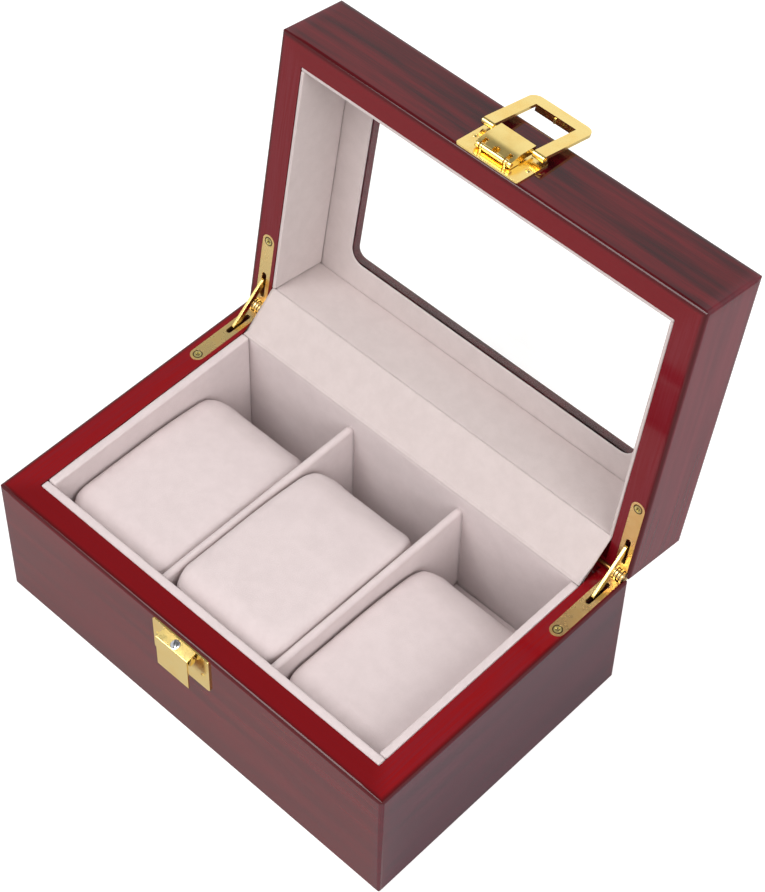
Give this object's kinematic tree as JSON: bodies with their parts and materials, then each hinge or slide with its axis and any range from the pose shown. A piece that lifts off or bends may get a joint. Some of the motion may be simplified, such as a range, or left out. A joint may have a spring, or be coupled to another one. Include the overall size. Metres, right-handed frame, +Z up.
{
  "type": "watch box",
  "caption": "Lacquered wooden watch box with a hinged glazed lid, velvet lining, dividers, lift-out cushions, stayed hinges and a gilt bail latch.",
  "frame": {"origin": "centre of the base's underside", "axes": "+X along the box to the right, +Y from the front towards the hinges, +Z up"},
  "size_m": [0.175, 0.1777, 0.1726],
  "materials": {
    "lacquered_wood": "dark red high-gloss lacquer over streaked grain",
    "velvet": "short-pile pale velvet",
    "gilt": "polished gilt plating",
    "steel": "bright",
    "copper": "coppery, worn",
    "window_glass": "clear",
    "felt": "flat felt",
    "filling": "soft wadding"
  },
  "bodies": {
    "base": {"base_front_wall": "lacquered_wood", "base_back_wall": "lacquered_wood", "base_left_wall": "lacquered_wood", "base_right_wall": "lacquered_wood", "base_bottom_panel": "lacquered_wood", "base_felt": "felt", "base_lining_front": "velvet", "base_lining_back": "velvet", "base_lining_left": "velvet", "base_lining_right": "velvet", "base_floor_pad": "velvet", "divider_left": "velvet", "divider_right": "velvet", "hinge_leaf_base_left": "gilt", "hinge_leaf_base_right": "gilt", "hinge_pins": "gilt", "hinge_screws_base": "gilt", "catch_plate": "gilt", "catch_hook": "gilt", "catch_screw": "steel", "catch_nails": "gilt", "hinge_flap": "velvet"},
    "lid": {"lid_front_wall": "lacquered_wood", "lid_back_wall": "lacquered_wood", "lid_left_wall": "lacquered_wood", "lid_right_wall": "lacquered_wood", "lid_top_panel": "lacquered_wood", "window_glass": "window_glass", "lid_lining_front": "velvet", "lid_lining_back": "velvet", "lid_lining_left": "velvet", "lid_lining_right": "velvet", "lid_ceiling_card": "velvet", "hinge_leaf_lid_left": "gilt", "hinge_leaf_lid_right": "gilt", "hinge_screws_lid": "gilt", "clasp_plate": "gilt", "clasp_nails": "gilt", "lever_pin": "copper"},
    "clasp_lever": {"clasp_lever": "gilt", "bail_pin": "gilt"},
    "clasp_bail": {"clasp_bail": "gilt"},
    "stay_left": {"stay_left": "gilt"},
    "stay_right": {"stay_right": "gilt"},
    "cushion_left": {"cushion_cover_left": "velvet", "cushion_filling_left": "filling"},
    "cushion_middle": {"cushion_cover_middle": "velvet", "cushion_filling_middle": "filling"},
    "cushion_right": {"cushion_cover_right": "velvet", "cushion_filling_right": "filling"}
  },
  "joints": [
    {"name": "lid_hinge", "type": "hinge", "parent": "base", "child": "lid", "pos_m": [0, 0.0575, 0.05565], "axis": [1, 0, 0], "range_deg": [0, 99.5], "deforming": ["hinge_flap"]},
    {"name": "stay_left_turn", "type": "hinge", "parent": "base", "child": "stay_left", "pos_m": [-0.0815, 0.0575, 0.05565], "axis": [1, 0, 0], "range_deg": [0, 49.75]},
    {"name": "stay_right_turn", "type": "hinge", "parent": "base", "child": "stay_right", "pos_m": [0.0835, 0.0575, 0.05565], "axis": [1, 0, 0], "range_deg": [0, 49.75]},
    {"name": "lever_pivot", "type": "hinge", "parent": "lid", "child": "clasp_lever", "pos_m": [0, 0.081, 0.17095], "axis": [-1, 0, 0], "range_deg": [-150, 0]},
    {"name": "bail_pivot", "type": "hinge", "parent": "clasp_lever", "child": "clasp_bail", "pos_m": [0, 0.09044, 0.17039], "axis": [1, 0, 0], "range_deg": [0, 186.95]},
    {"name": "cushion_left_lift", "type": "slide", "parent": "base", "child": "cushion_left", "axis": [0, 0, -1], "range_m": [-0.06, 0]},
    {"name": "cushion_middle_lift", "type": "slide", "parent": "base", "child": "cushion_middle", "axis": [0, 0, -1], "range_m": [-0.06, 0]},
    {"name": "cushion_right_lift", "type": "slide", "parent": "base", "child": "cushion_right", "axis": [0, 0, -1], "range_m": [-0.06, 0]}
  ],
  "couplings": [
    {"joint": "stay_left_turn", "follows": "lid_hinge", "ratio": 0.5},
    {"joint": "stay_right_turn", "follows": "lid_hinge", "ratio": 0.5}
  ]
}
